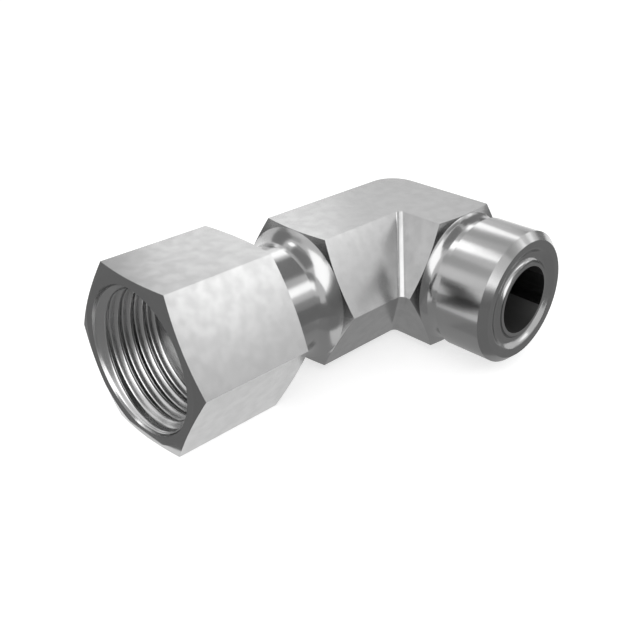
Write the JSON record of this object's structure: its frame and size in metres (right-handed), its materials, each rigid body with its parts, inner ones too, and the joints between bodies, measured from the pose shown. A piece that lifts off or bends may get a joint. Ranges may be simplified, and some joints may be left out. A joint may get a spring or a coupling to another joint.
{
  "type": "face seal swivel elbow fitting",
  "caption": "Right-angle hexagon elbow for hydraulic tube, with a grooved male face seal end and a swivel hexagon nut on a flat-faced tail.",
  "frame": {"origin": "centre of the male sealing face, on the male port's axis", "axes": "+X out of the male port, -Y out of the swivel nut, +Z square to both port axes, with a flat of each hexagon on top"},
  "size_m": [0.0577, 0.0916, 0.035],
  "materials": {
    "elbow_steel": "machined bar steel, satin, neutral grey",
    "nut_steel": "machined bar steel, satin, neutral grey",
    "spring_steel": "spring steel, ground on its sides"
  },
  "bodies": {
    "elbow": {"elbow_body": "elbow_steel", "retaining_ring": "spring_steel"},
    "nut": {"swivel_nut": "nut_steel"}
  },
  "joints": [
    {"name": "nut_spin", "type": "hinge", "parent": "elbow", "child": "nut", "pos_m": [-0.03752, -0.06096, 0], "axis": [0, -1, 0], "continuous": true}
  ]
}
